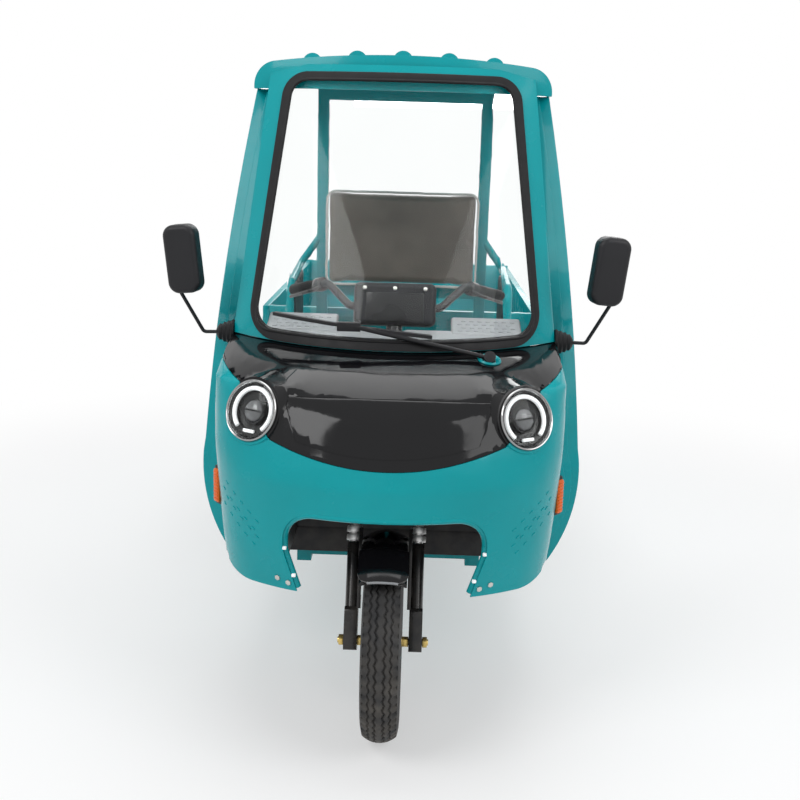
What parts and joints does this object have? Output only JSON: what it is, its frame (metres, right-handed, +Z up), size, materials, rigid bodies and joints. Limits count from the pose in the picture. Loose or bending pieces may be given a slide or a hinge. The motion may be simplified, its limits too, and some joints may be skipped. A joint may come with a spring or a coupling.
{
  "type": "semi-enclosed electric cargo tricycle",
  "caption": "Three-wheeled electric cargo vehicle: bowed front cab with windscreen and ribbed roof, open sides, steered front wheel and a drop-tail load bed over the driven rear axle.",
  "frame": {"origin": "on the ground, in the middle of the vehicle's box", "axes": "+Z up, front towards -Y, the driver's left towards +X"},
  "size_m": [1.2542, 3.1549, 1.742],
  "materials": {
    "teal_paint": "gloss teal paint",
    "gloss_black": "piano black",
    "satin_black": "moulded black plastic",
    "grey_plastic": "light grey grained plastic",
    "black_metal": "black enamel",
    "polished_steel": "polished",
    "plated_steel": "zinc plated and silver painted",
    "tyre_rubber": "road tread",
    "soft_rubber": "matt",
    "clear_glass": "clear laminated",
    "mirror_glass": "silvered",
    "lamp_body": "black reflector in a silver bezel",
    "amber_lens": "amber lens",
    "red_lens": "red lens",
    "seat_cover": "grey-brown synthetic leather",
    "battery_case": "sealed block"
  },
  "bodies": {
    "vehicle": {"arch_liner": "satin_black", "backrest": "seat_cover", "battery_pack": "battery_case", "bed_floor": "teal_paint", "bed_headboard": "teal_paint", "bed_side_left": "teal_paint", "bed_side_right": "teal_paint", "cab_floor": "teal_paint", "chassis_frame": "teal_paint", "dash_shelf": "grey_plastic", "front_fairing": "teal_paint", "headlamp_left": "lamp_body", "headlamp_right": "lamp_body", "inner_apron": "satin_black", "leaf_springs": "black_metal", "mirror_left": "satin_black", "mirror_panes": "mirror_glass", "mirror_right": "satin_black", "nose_panel": "gloss_black", "nose_screen": "gloss_black", "rail_pads": "seat_cover", "rear_axle": "black_metal", "rear_bumper": "black_metal", "rear_mudguards": "satin_black", "rear_portal": "teal_paint", "roof_panel": "teal_paint", "screen_surround": "teal_paint", "seat_box": "teal_paint", "seat_cushion": "seat_cover", "side_arch_left": "teal_paint", "side_arch_right": "teal_paint", "side_marker_left": "amber_lens", "side_marker_right": "amber_lens", "side_rails": "teal_paint", "tail_lamps": "red_lens", "windscreen_glass": "clear_glass", "windscreen_seal": "soft_rubber", "wiper": "satin_black"},
    "steering": {"steering_stem": "black_metal", "fork_legs": "black_metal", "fork_stanchions": "polished_steel", "front_axle": "plated_steel", "front_mudguard": "gloss_black", "handlebar": "black_metal", "handlebar_grips": "soft_rubber", "binnacle": "satin_black"},
    "front_wheel": {"front_tyre": "tyre_rubber", "front_rim": "plated_steel"},
    "rear_wheel_left": {"rear_tyre_left": "tyre_rubber", "rear_rim_left": "plated_steel"},
    "rear_wheel_right": {"rear_tyre_right": "tyre_rubber", "rear_rim_right": "plated_steel"},
    "tailgate": {"tailgate": "teal_paint"}
  },
  "joints": [
    {"name": "steering_turn", "type": "hinge", "parent": "vehicle", "child": "steering", "pos_m": [0, -1.28548, 0.23129], "axis": [0, 0.4067, 0.9135], "range_deg": [-30, 30]},
    {"name": "front_wheel_spin", "type": "hinge", "parent": "steering", "child": "front_wheel", "pos_m": [0, -1.3275, 0.25], "axis": [1, 0, 0], "continuous": true},
    {"name": "rear_left_spin", "type": "hinge", "parent": "vehicle", "child": "rear_wheel_left", "pos_m": [0.425, 0.8025, 0.25], "axis": [1, 0, 0], "continuous": true},
    {"name": "rear_right_spin", "type": "hinge", "parent": "vehicle", "child": "rear_wheel_right", "pos_m": [-0.425, 0.8025, 0.25], "axis": [1, 0, 0], "continuous": true},
    {"name": "tailgate_drop", "type": "hinge", "parent": "vehicle", "child": "tailgate", "pos_m": [0, 1.5485, 0.59], "axis": [-1, 0, 0], "range_deg": [0, 90]}
  ]
}
